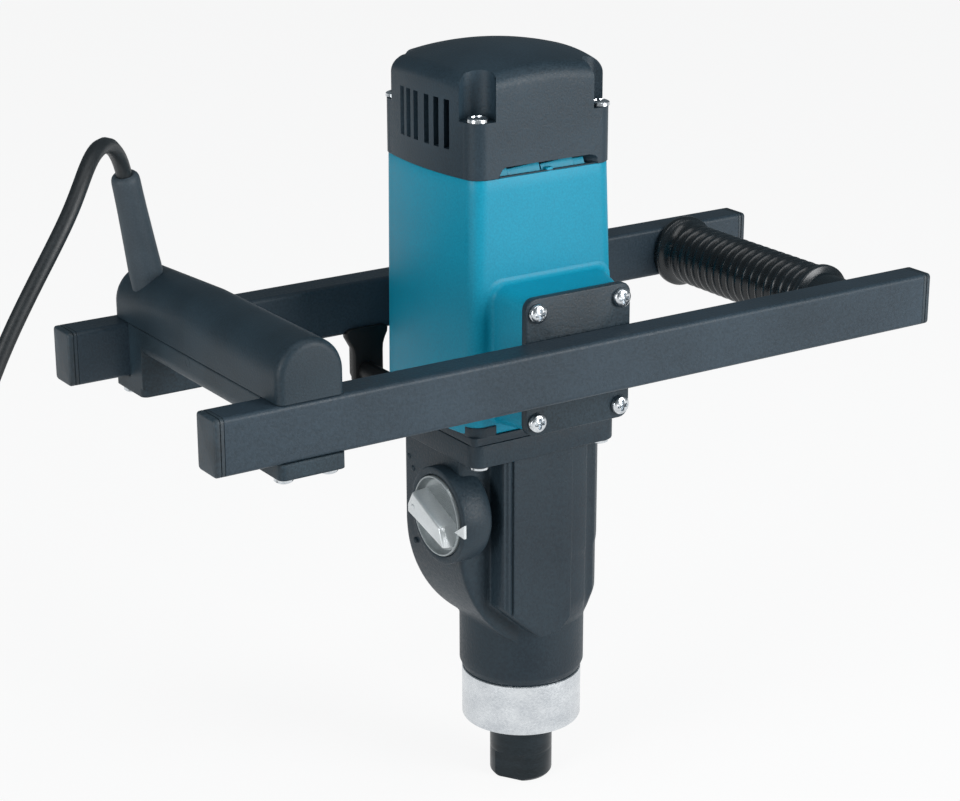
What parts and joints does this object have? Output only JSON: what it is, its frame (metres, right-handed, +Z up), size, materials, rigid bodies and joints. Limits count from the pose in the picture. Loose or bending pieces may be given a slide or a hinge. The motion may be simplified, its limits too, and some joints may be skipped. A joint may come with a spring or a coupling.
{
  "type": "mixing drill",
  "caption": "Upright two-speed mixing drill: motor and gearbox held between two long side bars, with a ribbed grip, a switch handle and a mains cord.",
  "frame": {"origin": "centre of the spindle nose's end face, at the mouth of its threaded socket", "axes": "+Z up the spindle towards the rear cover, +X along the side bars towards the ribbed grip, +Y towards the far side bar"},
  "size_m": [0.5605, 0.2485, 0.3635],
  "materials": {
    "black_housing": "fine-textured black plastic",
    "teal_housing": "satin teal plastic",
    "bar_paint": "fine-grained black powder coat",
    "cap_plastic": "matt",
    "zinc": "bright zinc",
    "steel": "machined",
    "aluminium": "turned",
    "copper": "enamelled copper",
    "brass": "plain",
    "carbon": "carbon",
    "rubber": "satin rubber",
    "cord_rubber": "rubber sheath",
    "knob_grey": "silver-grey plastic",
    "trigger_plastic": "smooth"
  },
  "bodies": {
    "body": {"rear_cover": "black_housing", "cover_screws": "zinc", "motor_housing": "teal_housing", "field_core": "steel", "field_coils": "copper", "brush_plate": "brass", "carbon_brushes": "carbon", "upper_bearing": "steel", "lower_bearing": "steel", "air_baffle": "cap_plastic", "bearing_flange": "black_housing", "gear_housing": "black_housing", "housing_screws": "zinc", "inner_bracket": "aluminium", "shaft_bearings": "steel", "spindle_bearings": "steel", "spindle_collar": "aluminium", "oil_seal": "rubber", "near_bar": "bar_paint", "far_bar": "bar_paint", "bar_end_caps": "cap_plastic", "near_plate": "bar_paint", "far_plate": "bar_paint", "bracket_screws": "zinc", "grip_tube": "bar_paint", "ribbed_grip": "rubber", "handle_upper_shell": "black_housing", "handle_lower_shell": "black_housing", "handle_screws": "zinc", "switch_body": "cap_plastic", "cable_duct": "rubber", "inner_cable": "cord_rubber", "cord_guard": "rubber", "cord_lead": "cord_rubber", "cord_coil": "cord_rubber", "cord_tail": "cord_rubber", "coil_tie": "cord_rubber", "plug_body": "cord_rubber", "plug_pins": "brass", "trigger_pin": "steel"},
    "armature": {"armature_shaft": "steel", "armature_core": "steel", "armature_windings": "copper", "commutator": "copper", "fan": "cap_plastic"},
    "shaft_a": {"first_shaft": "steel", "first_gear": "steel"},
    "shaft_b": {"second_shaft": "steel", "second_gear": "steel"},
    "spindle": {"spindle": "steel"},
    "gear_block": {"gear_block": "steel"},
    "shift_fork": {"shift_fork": "brass"},
    "gear_knob": {"gear_knob": "knob_grey"},
    "trigger": {"trigger": "trigger_plastic"},
    "lock_button": {"lock_button": "trigger_plastic"}
  },
  "joints": [
    {"name": "spindle_spin", "type": "hinge", "parent": "body", "child": "spindle", "pos_m": [0, 0, 0], "axis": [0, 0, 1], "continuous": true},
    {"name": "second_shaft_spin", "type": "hinge", "parent": "body", "child": "shaft_b", "pos_m": [-0.0225, 0, 0.15], "axis": [0, 0, 1], "continuous": true},
    {"name": "first_shaft_spin", "type": "hinge", "parent": "body", "child": "shaft_a", "pos_m": [0.006, 0, 0.17], "axis": [0, 0, 1], "continuous": true},
    {"name": "armature_spin", "type": "hinge", "parent": "body", "child": "armature", "pos_m": [-0.0145, 0, 0.25], "axis": [0, 0, 1], "continuous": true},
    {"name": "knob_turn", "type": "hinge", "parent": "body", "child": "gear_knob", "pos_m": [-0.055, -0.014, 0.151], "axis": [1, 0, 0], "range_deg": [-4, 184]},
    {"name": "fork_slide", "type": "slide", "parent": "body", "child": "shift_fork", "axis": [0, 0, 1], "range_m": [-0.0003, 0.0093]},
    {"name": "block_slide", "type": "slide", "parent": "spindle", "child": "gear_block", "axis": [0, 0, 1], "range_m": [0, 0.009]},
    {"name": "trigger_press", "type": "hinge", "parent": "body", "child": "trigger", "pos_m": [-0.151, 0.012, 0.2365], "axis": [-1, 0, 0], "range_deg": [0, 6], "stiffness_Nm_per_rad": 0.5, "springref_deg": -17.19},
    {"name": "lock_press", "type": "slide", "parent": "body", "child": "lock_button", "axis": [-1, 0, 0], "range_m": [0, 0.002], "stiffness_N_per_m": 600, "springref_m": -0.003}
  ],
  "couplings": [
    {"joint": "second_shaft_spin", "follows": "spindle_spin", "ratio": -3},
    {"joint": "first_shaft_spin", "follows": "spindle_spin", "ratio": 10.154},
    {"joint": "armature_spin", "follows": "spindle_spin", "ratio": -36.103},
    {"joint": "fork_slide", "follows": "block_slide", "ratio": 1},
    {"joint": "knob_turn", "follows": "block_slide", "rad_per_m": 349.06}
  ]
}
